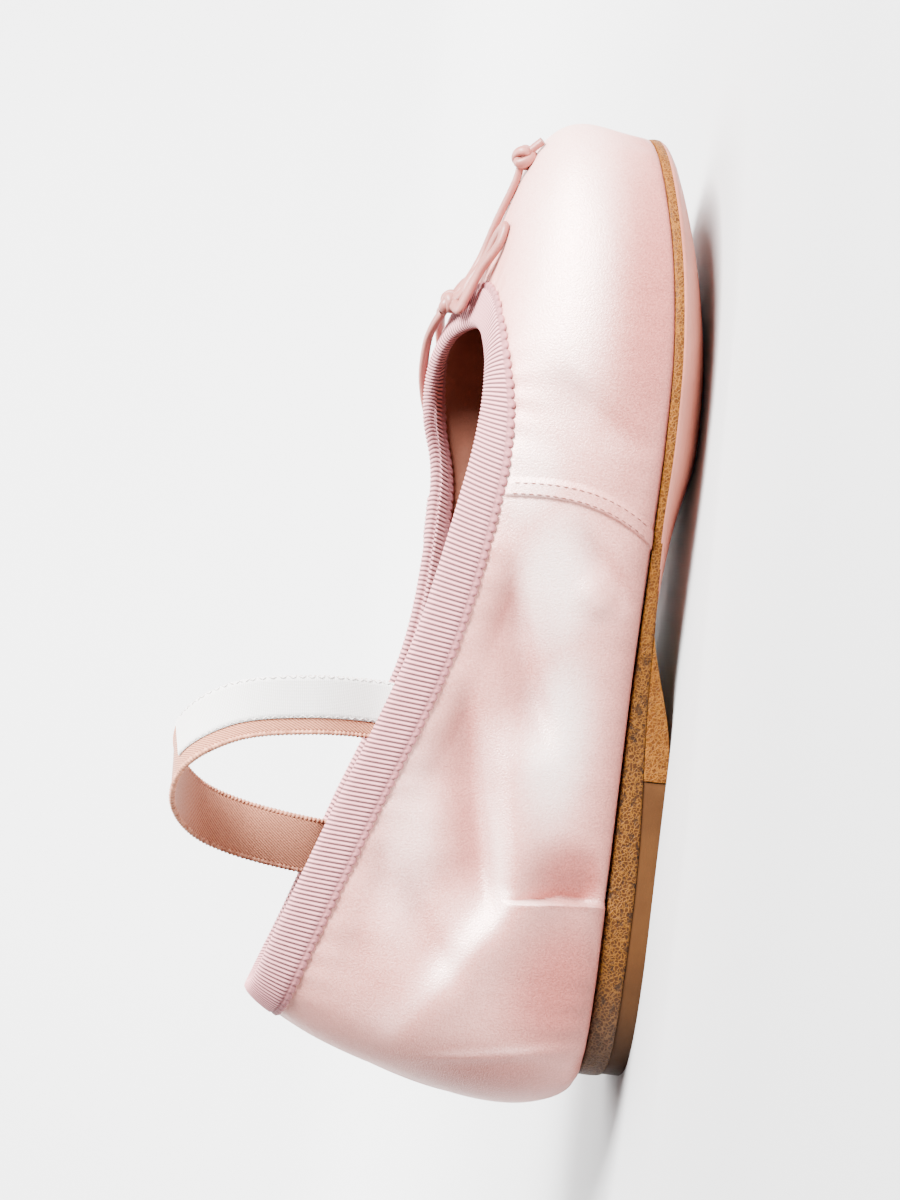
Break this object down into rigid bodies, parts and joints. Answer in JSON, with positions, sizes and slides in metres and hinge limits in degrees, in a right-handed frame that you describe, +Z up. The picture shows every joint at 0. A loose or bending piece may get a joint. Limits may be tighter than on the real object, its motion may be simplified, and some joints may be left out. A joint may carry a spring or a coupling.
{
  "type": "ballet flat",
  "caption": "Soft satin ballet flat for the right foot with a ribbon-bound collar, cord bow, elastic instep strap, thin leather sole and low heel.",
  "frame": {"origin": "on the floor, under the middle of the shoe's bounding box taken without the bow", "axes": "+X towards the toe, +Y towards the inside of the foot, +Z up"},
  "size_m": [0.239, 0.0793, 0.117],
  "materials": {
    "satin": "satin weave with a soft sheen",
    "ribbon": "matt cross-ribbed ribbon",
    "sole_leather": "worn, edge-stained",
    "heel_rubber": "matt",
    "sock": "smooth, matt",
    "elastic": "knitted",
    "tape": "woven, blank",
    "cord": "folded and stitched strip"
  },
  "bodies": {
    "root": {"upper": "satin", "topline_binding": "ribbon", "outsole": "sole_leather", "heel_lift": "heel_rubber", "heel_breast": "sole_leather", "insole": "sock", "instep_strap": "elastic", "strap_label": "tape", "bow_knot": "cord", "bow_loop_lateral": "cord", "bow_loop_medial": "cord", "bow_tail_lateral": "cord", "bow_tail_medial": "cord", "tail_knot_lateral": "cord", "tail_knot_medial": "cord"}
  },
  "joints": []
}
